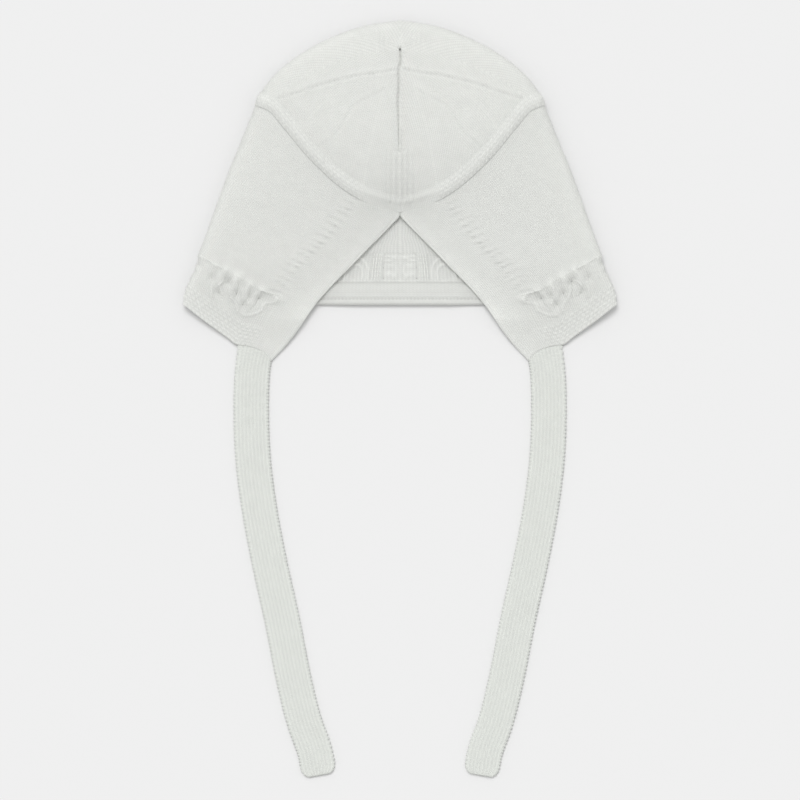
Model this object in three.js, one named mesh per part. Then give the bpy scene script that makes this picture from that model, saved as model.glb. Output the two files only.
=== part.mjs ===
// A baby's knitted bonnet with two ties, lying flat on its front with the back of the head uppermost.
// It is one hollow shell folded along its outline: the back layer lies over the front layer, and the
// head goes in between them through the neck notch. Units are millimetres, +Z is up, +Y points to the
// top of the crown, and the origin is under the middle of the cap, on the surface that it lies on.
//
// Every point of the shell is a direction from the middle of a ball. The ball is flattened onto its
// outline: directions that point up lie on the back layer and those that point down on the front layer.
import * as THREE from 'three';

// ---- driving dimensions -------------------------------------------------------------------------
const WALL = 2.2; // thickness of the knitted wall
const GAP = 0.3; // clearance between neighbouring pieces
const FOLD_RADIUS = 3.5; // radius of the fold at the outline, at mid wall
const CREST = 9; // how far the crown stands above the level of the folds
const NOTCH_SHARE = 0.1; // share of that crest left at the neck notch
const CREST_RISE = { from: -25, to: 35 }; // from y to y the crest rises from that share to the whole
const CENTRE_Y = -24.5; // where the ball's middle lies on the Y axis
const WELT_WIDTH = 8; // width of the ridge round the crown
const WELT_PROUD = 0.9; // how far the ridge stands proud of the back layer
const WELT_FADE = { from: -0.3, to: 0.5 }; // it fades out where the wall's normal leans down, by its z
const EDGING_WIDTH = 11.5; // depth of the seed-stitch edging
const LACE_WIDTH = { front: 14.5, marks: 18.5 }; // depth of the lace band, which widens on the flaps
const LACE_WIDENING = { from: 100, to: 140 }; // how far from the middle of the front it does so
const SEAM_LENGTH = 2.2; // the short seam that joins the two neck edges under the welt
const SEAM_SLIT = 0.3; // how far each neck edge stays from the middle along that seam
const MARK_INSET = { face: 12.5, welt: 23.5 }; // from the neck edge to the line of fashion marks
const EYELET_RADIUS = 1.3; // radius of the hole where the crown's wedges meet
const EYELET_Y = 70; // where that hole lies
const FLAP_TIP_Y = -85; // lowest point of the two flaps
const FLAP_LIFT_LENGTH = 50; // the flaps rise from the surface over this length above their tips
const TIE_WIDTH = 17;
const TIE_HEAD = 14; // over this length the tie's rows turn from the flap's edge to square
const TIE_HEAD_ENDS = [0.4, 18.6]; // where the head's corners lie, along the face edge from its tip
const TIE_HEAD_DROP = 0.6; // how far the head lies below the face edge
const TIE_END_ROUND = 5; // the far end's corners are rounded over this length
const TIE_END_SHARE = 0.55; // share of the width that is left at the far end

// The right half of the outline, from the top of the crown down to the corner of the face edge.
const OUTLINE = [
  { x: 0, y: 85 },
  { x: 20, y: 81.5 },
  { x: 40, y: 73.5 },
  { x: 56, y: 63.7 },
  { x: 67, y: 52.8 },
  { x: 75, y: 35.5 },
  { x: 85.2, y: 10.5 },
  { x: 96, y: -19.5 },
  { x: 104, y: -42 },
  { x: 108, y: -56 },
];
// Below the corner the layers don't meet. This guide keeps the flattening smooth there.
const GUIDE = [
  { x: 104, y: -92 },
  { x: 66, y: -150 },
  { x: 0, y: -174.5 },
];
const WELT_LOW_Y = -6.5; // lowest point of the welt's middle line
const NECK_TOP_Y = WELT_LOW_Y - WELT_WIDTH / 2 - GAP; // where the neck edges start, under the welt
// The middle of the welt on the back layer, from the notch to the shoulder, where it meets the fold.
const WELT_BACK = [
  { x: 0, y: WELT_LOW_Y },
  { x: 8, y: -4.6 },
  { x: 17.5, y: -1.7 },
  { x: 28, y: 4.6 },
  { x: 43, y: 18.5 },
  { x: 56, y: 34 },
  { x: 63.5, y: 42.5 },
  { x: 71.5, y: 46 },
];
// The same line on the front layer, from the shoulder to the middle.
const WELT_FRONT = [
  { x: 71.5, y: 46 },
  { x: 60, y: 42 },
  { x: 36, y: 35.5 },
  { x: 0, y: 32.5 },
];
// The face edge on the flap, from its tip to the corner at the fold. A tie hangs from the first stretch.
const FACE_BACK = [
  { x: 64.2, y: FLAP_TIP_Y },
  { x: 69.2, y: -80.2 },
  { x: 75.2, y: -78 },
  { x: 82.2, y: -76.6 },
  { x: 86.5, y: -73.3 },
  { x: 100, y: -63.4 },
  { x: 108.5, y: -56.5 },
];
// The same edge on the front layer, from the corner to the middle: the straight front hem.
const FACE_FRONT = [
  { x: 108.5, y: -56.5 },
  { x: 102, y: -57 },
  { x: 50, y: -57 },
  { x: 0, y: -57 },
];
// The neck edge of a flap, from under the welt to the tip. Left and right make the notch.
const NECK_EDGE = [
  { x: SEAM_SLIT, y: NECK_TOP_Y },
  { x: SEAM_SLIT, y: NECK_TOP_Y - SEAM_LENGTH },
  { x: 2.2, y: -15 },
  { x: 21.3, y: -34.5 },
  { x: 40.3, y: -54.5 },
  { x: 54.7, y: -74.5 },
  { x: 64.2, y: FLAP_TIP_Y },
];
// The middle line of the right tie, from the flap to its end.
const TIE_ROUTE = [
  { x: 73.4, y: -80.6 },
  { x: 74.4, y: -105 },
  { x: 73.6, y: -132 },
  { x: 70.6, y: -157 },
  { x: 65.5, y: -184.5 },
  { x: 58.9, y: -214.5 },
  { x: 53.2, y: -243.5 },
  { x: 47.9, y: -265 },
  { x: 42.6, y: -280 },
  { x: 40.4, y: -292 },
];

// ---- mesh density -------------------------------------------------------------------------------
const NECK_COLUMNS = 4; // between a neck edge and the line of fashion marks
const BACK_COLUMNS = 11; // from there to the fold
const FRONT_COLUMNS = 12; // from the fold to the middle of the front
const PANEL_ROWS = 11;
const BAND_ROWS = 3;
const CROWN_ROWS = 14;
const CROWN_CROWDING = 3; // how much denser the crown's rows are at the fold than away from it
const CROWN_CROWDING_REACH = 6; // over this distance on each side of it
const TIE_STEPS = 28;
const TIE_STRIPS = 4;
const TIE_CROWDING = 1.15; // how strongly those steps crowd towards the rounded end
const FOLD_CROWDING = 1.5; // how strongly columns crowd towards the fold
const ASIDE_TURN = THREE.MathUtils.degToRad(0.25); // step for walking sideways over the ball
const LINE_SAMPLES = 160;
const OUTLINE_SAMPLES = 400;
const FOLD_SAMPLES = 16;
const PATH_SAMPLES = 60;

// ---- the flattened ball -------------------------------------------------------------------------
const FOLD_MIDDLE_Z = WALL / 2 + FOLD_RADIUS;

function curveThrough(rows) {
  const points = rows.map(({ x, y }) => new THREE.Vector3(x, y, 0));
  return new THREE.CatmullRomCurve3(points, false, 'centripetal');
}

function pointsAlong(rows, count = LINE_SAMPLES) {
  return curveThrough(rows).getSpacedPoints(count);
}

function spread(from, to, steps) {
  return Array.from({ length: steps + 1 }, (_, k) => THREE.MathUtils.lerp(from, to, k / steps));
}

function smoothstep(low, high, value) {
  return THREE.MathUtils.smoothstep(value, low, high);
}

// The fold's distance from the middle for each bearing, measured from the top of the crown.
const foldTable = pointsAlong([...OUTLINE, ...GUIDE], OUTLINE_SAMPLES).map(({ x, y }) => ({
  bearing: Math.atan2(x, y - CENTRE_Y),
  radius: Math.hypot(x, y - CENTRE_Y) - WALL / 2,
}));

function foldDistance(bearing) {
  const found = foldTable.findIndex((row) => row.bearing >= bearing);
  if (found === 0) return foldTable[0].radius;
  if (found < 0) return foldTable[foldTable.length - 1].radius;
  const before = foldTable[found - 1];
  const after = foldTable[found];
  const share = (bearing - before.bearing) / (after.bearing - before.bearing);
  return THREE.MathUtils.lerp(before.radius, after.radius, share);
}

// The direction that lies at x, y: layer is 1 for the back layer and -1 for the front layer.
function directionAt({ x, y }, layer) {
  const away = Math.hypot(x, y - CENTRE_Y);
  const reach = foldDistance(Math.atan2(Math.abs(x), y - CENTRE_Y));
  const share = Math.min(away / reach, 1);
  const direction = new THREE.Vector3(x, y - CENTRE_Y, 0).setLength(share);
  direction.z = layer * Math.sqrt(1 - share * share);
  return direction;
}

// Height of the back layer's mid wall away from the fold.
function backHeight(y, rise) {
  const flap = smoothstep(FLAP_TIP_Y, FLAP_TIP_Y + FLAP_LIFT_LENGTH, y);
  const crest = THREE.MathUtils.lerp(NOTCH_SHARE, 1, smoothstep(CREST_RISE.from, CREST_RISE.to, y));
  return WALL / 2 + flap * (2 * FOLD_RADIUS + CREST * crest * rise);
}

// Where a direction lies on the folded bonnet, at mid wall.
function place(direction) {
  const { x, y, z } = direction;
  const share = Math.hypot(x, y);
  const reach = foldDistance(Math.atan2(Math.abs(x), y));
  const inside = (reach * z * z) / (1 + share);
  const round = inside < FOLD_RADIUS ? Math.sqrt(1 - (1 - inside / FOLD_RADIUS) ** 2) : 1;
  const at = new THREE.Vector3(x * reach, y * reach + CENTRE_Y, FOLD_MIDDLE_Z);
  if (z < 0) at.z -= FOLD_RADIUS * round;
  else at.z += (backHeight(at.y, z * z) - FOLD_MIDDLE_Z) * round;
  return at;
}

// ---- lines drawn on the ball --------------------------------------------------------------------
function elevation(direction) {
  return Math.asin(THREE.MathUtils.clamp(direction.z, -1, 1));
}

// A line over the back layer and then the front layer, with each point's distance and elevation.
function lineOver(directions) {
  let length = 0;
  return directions.map((direction, i) => {
    if (i > 0) length += place(direction).distanceTo(place(directions[i - 1]));
    return { direction, length, elevation: elevation(direction) };
  });
}

// The directions of a drawn line on one layer, without any that fall outside the fold.
function lineOnLayer(rows, layer) {
  const directions = pointsAlong(rows).map((point) => directionAt(point, layer));
  return directions.filter(({ z }) => z !== 0);
}

// A line that crosses the fold, with directions filled in where the two layers' lines meet.
function halfLine(backRows, frontRows) {
  const back = lineOnLayer(backRows, 1);
  const front = lineOnLayer(frontRows, -1);
  const over = spread(0, 1, FOLD_SAMPLES).slice(1, -1);
  return [...back, ...over.map((share) => betweenDirections(back.at(-1), front[0], share)), ...front];
}

function betweenDirections(a, b, share) {
  return a.clone().lerp(b, share).normalize();
}

// How far along a line's rows it reaches a value of its column 'length' or 'elevation'.
function indexWhere(line, column, value) {
  const rising = line.at(-1)[column] > line[0][column];
  const passed = line.findIndex((row) => (rising ? row[column] >= value : row[column] <= value));
  if (passed === 0) return 0;
  if (passed < 0) return line.length - 1;
  const [before, after] = [line[passed - 1][column], line[passed][column]];
  return passed - 1 + (value - before) / (after - before);
}

function directionAtIndex(line, index) {
  const whole = Math.min(Math.floor(index), line.length - 2);
  return betweenDirections(line[whole].direction, line[whole + 1].direction, index - whole);
}

function lengthAtIndex(line, index) {
  const whole = Math.min(Math.floor(index), line.length - 2);
  return THREE.MathUtils.lerp(line[whole].length, line[whole + 1].length, index - whole);
}

function where(line, column, value) {
  return directionAtIndex(line, indexWhere(line, column, value));
}

// Walks over the ball from a direction, square to a line's tangent, for a real distance.
function stepAside(direction, tangent, distance) {
  const axis = tangent.clone().projectOnPlane(direction).normalize();
  const turn = ASIDE_TURN * Math.sign(distance);
  let here = direction.clone();
  let walked = 0;
  while (walked < Math.abs(distance)) {
    const next = here.clone().applyAxisAngle(axis, turn);
    const stride = place(next).distanceTo(place(here));
    const share = Math.min(1, (Math.abs(distance) - walked) / stride);
    here = betweenDirections(here, next, share);
    walked += stride;
  }
  return here;
}

function mirrored(direction) {
  return new THREE.Vector3(-direction.x, direction.y, direction.z);
}

// The half line moved sideways over the surface. Its two ends lie on the plane of symmetry.
function lineBeside(directions, distance) {
  const last = directions.length - 1;
  return directions.map((direction, i) => {
    const before = i > 0 ? directions[i - 1] : mirrored(directions[1]);
    const after = i < last ? directions[i + 1] : mirrored(directions[last - 1]);
    return stepAside(direction, after.clone().sub(before), distance);
  });
}

const weltDirections = halfLine(WELT_BACK, WELT_FRONT);
const weltMiddle = lineOver(weltDirections);
const weltOuter = lineOver(lineBeside(weltDirections, WELT_WIDTH / 2));
const weltInner = lineOver(lineBeside(weltDirections, -WELT_WIDTH / 2));
const panelTop = lineOver(lineBeside(weltDirections, WELT_WIDTH / 2 + GAP));
const crownFoot = lineOver(lineBeside(weltDirections, -WELT_WIDTH / 2 - GAP));
const faceEdge = lineOver(halfLine(FACE_BACK, FACE_FRONT));
const neckEdge = lineOver(pointsAlong(NECK_EDGE).map((point) => directionAt(point, 1)));

// ---- columns and rows ---------------------------------------------------------------------------
// Shares from near 0, at the fold, to 1, crowded towards the fold.
function crowded(count) {
  return Array.from({ length: count }, (_, k) => ((k + 1) / count) ** FOLD_CROWDING);
}

// Where a half line's columns stand, as places along its rows: evenly from its first end to the line
// of fashion marks, then closer and closer to the fold, and from the fold to the middle of the front.
function columnPlaces(line, markInset) {
  const mark = indexWhere(line, 'length', markInset);
  const markElevation = elevation(directionAtIndex(line, mark));
  const frontElevation = line.at(-1).elevation;
  const neck = spread(0, markInset, NECK_COLUMNS).slice(0, -1);
  const back = crowded(BACK_COLUMNS).reverse().slice(1);
  const front = [0, ...crowded(FRONT_COLUMNS)];
  return [
    ...neck.map((inset) => indexWhere(line, 'length', inset)),
    mark,
    ...back.map((share) => indexWhere(line, 'elevation', markElevation * share)),
    ...front.map((share) => indexWhere(line, 'elevation', frontElevation * share)),
  ];
}

// The panel's columns: the directions on the face edge and on the panel's top that each joins, and
// how far from the middle of the front it starts. beyondMarks shifts those past the fashion marks.
function panelColumns(beyondMarks = 0) {
  const onWelt = columnPlaces(weltMiddle, MARK_INSET.welt + beyondMarks);
  return columnPlaces(faceEdge, MARK_INSET.face + beyondMarks).map((onFace, k) => ({
    low: directionAtIndex(faceEdge, onFace),
    high: directionAtIndex(panelTop, onWelt[k]),
    fromFront: faceEdge.at(-1).length - lengthAtIndex(faceEdge, onFace),
  }));
}

// The line from the face edge up to the welt in one column. Near the neck edge it bends to follow it.
function panelPath({ low, high }) {
  const nearness = Math.max(0, elevation(low) / faceEdge[0].elevation) ** 2;
  const neckLength = neckEdge[neckEdge.length - 1].length;
  const [tip, top] = [faceEdge[0].direction, panelTop[0].direction];
  const directions = spread(0, 1, PATH_SAMPLES).map((share) => {
    const bend = where(neckEdge, 'length', neckLength * (1 - share));
    bend.sub(betweenDirections(tip, top, share)).multiplyScalar(nearness);
    return betweenDirections(low, high, share).add(bend).normalize();
  });
  return lineOver(directions);
}

// One grid column: the points of a path at distances along it.
function columnOn(path, distances) {
  return distances.map((distance) => place(where(path, 'length', distance)));
}

function mirroredColumns(half) {
  return half.map((column) => column.map(({ x, y, z }) => new THREE.Vector3(-x, y, z)));
}

// ---- walls --------------------------------------------------------------------------------------
function gridNormals(grid, closed) {
  const last = grid.length - 1;
  return grid.map((column, i) => {
    const before = closed ? grid.at(i - 1) : grid[Math.max(i - 1, 0)];
    const after = closed ? grid[(i + 1) % grid.length] : grid[Math.min(i + 1, last)];
    return column.map((_, j) => {
      const along = after[j].clone().sub(before[j]);
      const up = column[Math.min(j + 1, column.length - 1)].clone();
      up.sub(column[Math.max(j - 1, 0)]);
      return up.cross(along).normalize();
    });
  });
}

// A closed wall around a grid of mid-wall points, whose columns run anticlockwise seen from outside.
// closed joins the last column to the first, keep(i, j) says which cells are made, and proud(normal)
// how far the outer face stands out beyond the usual half wall.
function wallAround(grid, { closed = false, bridged = false, keep = () => true, proud } = {}) {
  const rows = grid[0].length;
  const cells = closed || bridged ? grid.length : grid.length - 1;
  const positions = [];
  gridNormals(grid, closed).forEach((column, i) => {
    column.forEach((normal, j) => {
      const outward = WALL / 2 + (proud ? proud(normal) : 0);
      positions.push(...grid[i][j].clone().addScaledVector(normal, outward).toArray());
      positions.push(...grid[i][j].clone().addScaledVector(normal, -WALL / 2).toArray());
    });
  });
  const outerAt = (i, j) => 2 * ((i % grid.length) * rows + j);
  const made = (i, j) => {
    const column = closed || bridged ? (i + cells) % cells : i;
    return column >= 0 && column < cells && j >= 0 && j < rows - 1 && keep(column, j);
  };
  const index = [];
  const quad = (a, b, c, d) => index.push(a, b, c, a, c, d);
  for (let i = 0; i < cells; i += 1) {
    for (let j = 0; j < rows - 1; j += 1) {
      if (!made(i, j)) continue;
      const [a, b] = [outerAt(i, j), outerAt(i + 1, j)];
      const [c, d] = [outerAt(i + 1, j + 1), outerAt(i, j + 1)];
      quad(a, d, c, b);
      quad(a + 1, b + 1, c + 1, d + 1);
      if (!made(i, j - 1)) quad(a, b, b + 1, a + 1);
      if (!made(i + 1, j)) quad(b, c, c + 1, b + 1);
      if (!made(i, j + 1)) quad(c, d, d + 1, c + 1);
      if (!made(i - 1, j)) quad(d, a, a + 1, d + 1);
    }
  }
  return usedOnly(positions, index);
}

// A geometry with only the vertices that its triangles use.
function usedOnly(positions, index) {
  const renumbered = new Map();
  const packed = [];
  const triangles = index.map((vertex) => {
    if (!renumbered.has(vertex)) {
      renumbered.set(vertex, renumbered.size);
      packed.push(...positions.slice(3 * vertex, 3 * vertex + 3));
    }
    return renumbered.get(vertex);
  });
  const geometry = new THREE.BufferGeometry();
  geometry.setAttribute('position', new THREE.Float32BufferAttribute(packed, 3));
  geometry.setIndex(triangles);
  geometry.computeVertexNormals();
  return geometry;
}

// ---- the strip round the face -------------------------------------------------------------------
// How far above the face edge the lace ends in a column.
function laceTop({ fromFront }) {
  const widening = smoothstep(LACE_WIDENING.from, LACE_WIDENING.to, fromFront);
  return EDGING_WIDTH + THREE.MathUtils.lerp(LACE_WIDTH.front, LACE_WIDTH.marks, widening);
}

// A wall from a half grid that runs from a neck edge or mark line to the middle of the front.
function stripWall(half, options) {
  return wallAround([...mirroredColumns(half), ...half.slice(0, -1).reverse()], options);
}

// The stocking-stitch panel. Beside the neck edges it reaches down past the lace to the edging.
function sidePanel() {
  const half = panelColumns().map((column) => {
    const path = panelPath(column);
    const [top, whole] = [laceTop(column), path.at(-1).length];
    return columnOn(path, [
      ...spread(EDGING_WIDTH + GAP, top, BAND_ROWS),
      ...spread(top, whole - SEAM_LENGTH, PANEL_ROWS).slice(1),
      whole,
    ]);
  });
  const bridge = 2 * half.length - 2;
  const seamRow = half[0].length - 2;
  const keep = (i, j) => {
    if (i === bridge) return j === seamRow;
    return j >= BAND_ROWS || Math.min(i, bridge - 1 - i) < NECK_COLUMNS;
  };
  return stripWall(half, { bridged: true, keep });
}

// The lace lies between the two lines of fashion marks.
function laceBand() {
  const half = panelColumns(GAP)
    .slice(NECK_COLUMNS)
    .map((column) => {
      const rows = spread(EDGING_WIDTH + GAP, laceTop(column) - GAP, BAND_ROWS);
      return columnOn(panelPath(column), rows);
    });
  return stripWall(half);
}

// The edging follows the whole face edge, from tip to tip.
function faceEdging() {
  const rows = spread(0, EDGING_WIDTH, BAND_ROWS);
  return stripWall(panelColumns().map((column) => columnOn(panelPath(column), rows)));
}

// ---- the crown and its welt ---------------------------------------------------------------------
// A closed wall from a half grid that runs from the middle of the back to the middle of the front.
function ringWall(half, options) {
  const ring = [...mirroredColumns(half), ...half.slice(1, -1).reverse()];
  return wallAround(ring, { ...options, closed: true });
}

function crownWelt() {
  const half = columnPlaces(weltMiddle, MARK_INSET.welt).map((index) => {
    const [low, high] = [weltOuter, weltInner].map((line) => directionAtIndex(line, index));
    return spread(0, 1, BAND_ROWS).map((share) => place(betweenDirections(low, high, share)));
  });
  const proud = ({ z }) => WELT_PROUD * smoothstep(WELT_FADE.from, WELT_FADE.to, z);
  return ringWall(half, { proud });
}

// Rows up a crown column, closer together where it goes over the fold.
function crownRows(path) {
  const whole = path.at(-1).length;
  const foldAt = path.find((row) => row.elevation >= 0).length;
  const stations = spread(0, whole - EYELET_RADIUS, PATH_SAMPLES * 2);
  let crowd = 0;
  const crowds = stations.map((distance) => {
    const nearness = Math.exp(-(((distance - foldAt) / CROWN_CROWDING_REACH) ** 2));
    crowd += 1 + CROWN_CROWDING * nearness;
    return crowd;
  });
  return spread(crowds[0], crowd, CROWN_ROWS).map((wanted) => {
    const found = crowds.findIndex((value) => value >= wanted);
    return stations.at(found);
  });
}

// The eight wedges end at the eyelet, which is left open.
function crown() {
  const eyelet = directionAt({ x: 0, y: EYELET_Y }, 1);
  const half = columnPlaces(weltMiddle, MARK_INSET.welt).map((index) => {
    const foot = directionAtIndex(crownFoot, index);
    const directions = spread(0, 1, PATH_SAMPLES).map((s) => betweenDirections(foot, eyelet, s));
    const path = lineOver(directions);
    return columnOn(path, crownRows(path));
  });
  return ringWall(half);
}

// ---- the ties -----------------------------------------------------------------------------------
// side is 1 for the tie on +X and -1 for the one on -X.
function tie(side) {
  const route = curveThrough(TIE_ROUTE);
  const length = route.getLength();
  const across = spread(-1, 1, TIE_STRIPS);
  const head = across.map((v) => tieHeadPoint((v + 1) / 2));
  const grid = spread(0, 1, TIE_STEPS).map((u) => {
    const share = 1 - (1 - u) ** TIE_CROWDING;
    const middle = route.getPointAt(share);
    const tangent = route.getTangentAt(share);
    const beyond = Math.max(0, length * share - (length - TIE_END_ROUND)) / TIE_END_ROUND;
    const round = Math.sqrt(1 - beyond * beyond);
    const halfWidth = (TIE_WIDTH / 2) * THREE.MathUtils.lerp(TIE_END_SHARE, 1, round);
    return { middle, tangent, halfWidth, share };
  });
  const points = grid.map(({ middle, tangent, halfWidth, share }) =>
    across.map((v, j) => {
      const start = new THREE.Vector3(grid[0].tangent.y, -grid[0].tangent.x, 0);
      const turn = head[j].clone().sub(start.multiplyScalar((-v * TIE_WIDTH) / 2));
      turn.sub(grid[0].middle);
      const point = new THREE.Vector3(tangent.y, -tangent.x, 0).multiplyScalar(-v * halfWidth);
      point.add(middle).addScaledVector(turn, Math.max(0, 1 - (share * length) / TIE_HEAD) ** 2);
      return new THREE.Vector3(side * point.x, point.y, WALL / 2);
    }),
  );
  const ordered = side > 0 ? points.map((row) => row.reverse()) : points;
  return wallAround(ordered);
}

// The first row of a tie follows the blunt end of the flap, a gap away from it.
function tieHeadPoint(share) {
  const onFlap = place(where(faceEdge, 'length', THREE.MathUtils.lerp(...TIE_HEAD_ENDS, share)));
  return new THREE.Vector3(onFlap.x, onFlap.y - TIE_HEAD_DROP, 0);
}

// ---- the bonnet ---------------------------------------------------------------------------------
const KNIT = { roughness: 0.95, metalness: 0 };
const SHADES = {
  crown: '#dfe0da',
  crown_welt: '#e2e3dd',
  side_panel: '#e2e3dd',
  lace_band: '#dddfd9',
  face_edging: '#dde1dc',
  tie: '#dcded9',
};

function piece(name, shade, geometry) {
  const material = new THREE.MeshStandardMaterial({ ...KNIT, color: SHADES[shade] });
  const mesh = new THREE.Mesh(geometry, material);
  mesh.name = name;
  return mesh;
}

const bonnet = new THREE.Group();
bonnet.add(piece('crown', 'crown', crown()));
bonnet.add(piece('crown_welt', 'crown_welt', crownWelt()));
bonnet.add(piece('side_panel', 'side_panel', sidePanel()));
bonnet.add(piece('lace_band', 'lace_band', laceBand()));
bonnet.add(piece('face_edging', 'face_edging', faceEdging()));
bonnet.add(piece('tie_left', 'tie', tie(-1)));
bonnet.add(piece('tie_right', 'tie', tie(1)));

export default bonnet;
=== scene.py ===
"""A baby's bonnet in fine ecru cotton, knitted in one shell with two ties, lying on its front.

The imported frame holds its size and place. This file makes the knitted surface round it: the
crown's wedges, seam and decreases, the pearls of the welt and the edging, the panel's fashion
marks, the leaf lace with its eyelets, and the ties with their chain edges. All lengths are in
metres.
"""
import math

import bpy
import numpy as np
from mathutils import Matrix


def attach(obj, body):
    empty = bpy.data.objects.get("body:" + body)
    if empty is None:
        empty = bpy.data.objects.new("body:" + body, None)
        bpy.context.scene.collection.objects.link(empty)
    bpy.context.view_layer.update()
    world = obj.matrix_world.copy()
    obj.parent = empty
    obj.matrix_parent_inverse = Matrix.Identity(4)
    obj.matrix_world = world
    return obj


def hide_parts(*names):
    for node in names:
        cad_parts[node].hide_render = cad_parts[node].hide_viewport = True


bl_info = {
    "name": "Knitted baby bonnet",
    "version": (1, 0, 0),
    "blender": (4, 5, 0),
    "location": "View3D > Sidebar > Bonnet",
    "description": "Knits the pieces of a baby's bonnet round its packed frame",
    "category": "Add Mesh",
}

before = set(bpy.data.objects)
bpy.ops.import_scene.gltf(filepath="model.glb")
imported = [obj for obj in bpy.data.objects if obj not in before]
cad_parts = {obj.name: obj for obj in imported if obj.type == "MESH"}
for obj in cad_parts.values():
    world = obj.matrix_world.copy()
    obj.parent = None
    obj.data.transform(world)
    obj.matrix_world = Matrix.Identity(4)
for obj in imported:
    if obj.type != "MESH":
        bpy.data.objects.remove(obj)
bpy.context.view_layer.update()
MM = 0.001

# ---- the shell's sizes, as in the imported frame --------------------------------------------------
WALL = 2.2 * MM
FOLD_RADIUS = 3.5 * MM
CREST = 9 * MM
NOTCH_SHARE = 0.1
CREST_RISE = {"from": -25 * MM, "to": 35 * MM}
CENTRE_Y = -24.5 * MM
WELT_WIDTH = 8 * MM
EDGING_WIDTH = 11.5 * MM
LACE_WIDTH = {"front": 14.5 * MM, "marks": 18.5 * MM}
LACE_WIDENING = {"from": 100 * MM, "to": 140 * MM}
MARK_INSET = {"face": 12.5 * MM, "welt": 23.5 * MM}
EYELET_Y = 70 * MM
EYELET_HALF = {"wide": 0.28 * MM, "tall": 0.8 * MM}
WEDGES = 8
FLAP_TIP_Y = -85 * MM
FLAP_LIFT_LENGTH = 50 * MM
TIE_WIDTH = 17 * MM
TIE_HEAD = 14 * MM
TIE_HEAD_ENDS = (0.4 * MM, TIE_WIDTH + 1.6 * MM)  # along the face edge, from the flap's tip
TIE_HEAD_DROP = 0.6 * MM
TIE_END_ROUND = 5 * MM
TIE_END_SHARE = 0.55
TIE_CHAIN = 1.85 * MM  # one stitch of the chain edge
SEAM_LENGTH = 2.2 * MM
SEAM_SLIT = 0.05 * MM
BUTT = 0.005 * MM  # the hairline left between neighbouring pieces
FLOOR_CLEARANCE = 0.02 * MM


def table(*rows):
    """Rows of x and y in millimetres, as an array in metres."""
    return np.array(rows, float) * MM


OUTLINE = table((0, 85), (20, 81.5), (40, 73.5), (56, 63.7), (67, 52.8), (75, 35.5), (85.2, 10.5),
                (96, -19.5), (104, -42), (108, -56))
GUIDE = table((104, -92), (66, -150), (0, -174.5))
WELT_BACK = table((0, -6.5), (8, -4.6), (17.5, -1.7), (28, 4.6), (43, 18.5), (56, 34),
                  (63.5, 42.5), (71.5, 46))
WELT_FRONT = table((71.5, 46), (60, 42), (36, 35.5), (0, 32.5))
FACE_BACK = table((64.2, -85), (69.2, -80.2), (75.2, -78), (82.2, -76.6), (86.5, -73.3),
                  (100, -63.4), (108.5, -56.5))
FACE_FRONT = table((108.5, -56.5), (102, -57), (50, -57), (0, -57))
NECK_TOP_Y = WELT_BACK[0, 1] - WELT_WIDTH / 2 - BUTT
SEAM_TOP = np.array([(SEAM_SLIT, NECK_TOP_Y), (SEAM_SLIT, NECK_TOP_Y - SEAM_LENGTH)])
NECK_EDGE = np.vstack([SEAM_TOP, table((2.2, -15), (21.3, -34.5), (40.3, -54.5), (54.7, -74.5),
                                       (64.2, -85))])
DROOP_LINE = table((2, -17), (21.3, -34.5), (40.3, -54.5), (54.7, -74.5))
DROOP_SHARE, DROOP_REACH = 0.9, 14 * MM
DROOP_SPARE = 0.5 * MM  # the least space kept between the layers
HEM_LIFT, HEM_REACH = 0.8 * MM, 10 * MM
HEM_FADE = {"from": 38 * MM, "to": 22 * MM}  # from the middle, on each side
TIE_ROUTE = table((73.4, -80.6), (74.4, -105), (73.6, -132), (70.6, -157), (65.5, -184.5),
                  (58.9, -214.5), (53.2, -243.5), (47.9, -265), (42.6, -280), (40.4, -292))


# ---- curves and the flattened ball --------------------------------------------------------------
def unit(vectors):
    return vectors / np.linalg.norm(vectors, axis=-1, keepdims=True)


def lengths_along(points):
    steps = np.linalg.norm(np.diff(points, axis=0), axis=1)
    return np.concatenate([[0], np.cumsum(steps)])


def at_lengths(points, wanted):
    """The points of a line at the wanted distances along it."""
    at = lengths_along(points)
    return np.stack([np.interp(wanted, at, column) for column in points.T], axis=1)


def curve_through(rows, count=161):
    """Evenly spaced points of a centripetal Catmull-Rom curve through the rows."""
    ends = 2 * rows[[0, -1]] - rows[[1, -2]]
    knots = np.vstack([ends[:1], rows, ends[1:]])
    gaps = np.sqrt(np.linalg.norm(np.diff(knots, axis=0), axis=1))[:, None]
    a, b, c, d = knots[:-3], knots[1:-2], knots[2:-1], knots[3:]
    before, here, after = gaps[:-2], gaps[1:-1], gaps[2:]
    leave = ((b - a) / before - (c - a) / (before + here) + (c - b) / here) * here
    enter = ((c - b) / here - (d - b) / (here + after) + (d - c) / after) * here
    s = np.linspace(0, 1, 33)[:-1, None, None]
    fine = (2 * s**3 - 3 * s**2 + 1) * b + (s**3 - 2 * s**2 + s) * leave
    fine = fine + (3 * s**2 - 2 * s**3) * c + (s**3 - s**2) * enter
    points = np.vstack([fine.transpose(1, 0, 2).reshape(-1, rows.shape[1]), rows[-1:]])
    return at_lengths(points, np.linspace(0, lengths_along(points)[-1], count))


def smoothstep(low, high, value):
    s = np.clip((value - low) / (high - low), 0, 1)
    return s * s * (3 - 2 * s)


FOLD = curve_through(np.vstack([OUTLINE, GUIDE]), 401)
FOLD_BEARINGS = np.arctan2(FOLD[:, 0], FOLD[:, 1] - CENTRE_Y)
FOLD_REACH = np.hypot(FOLD[:, 0], FOLD[:, 1] - CENTRE_Y) - WALL / 2


def fold_distance(x, y):
    return np.interp(np.arctan2(np.abs(x), y), FOLD_BEARINGS, FOLD_REACH)


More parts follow.
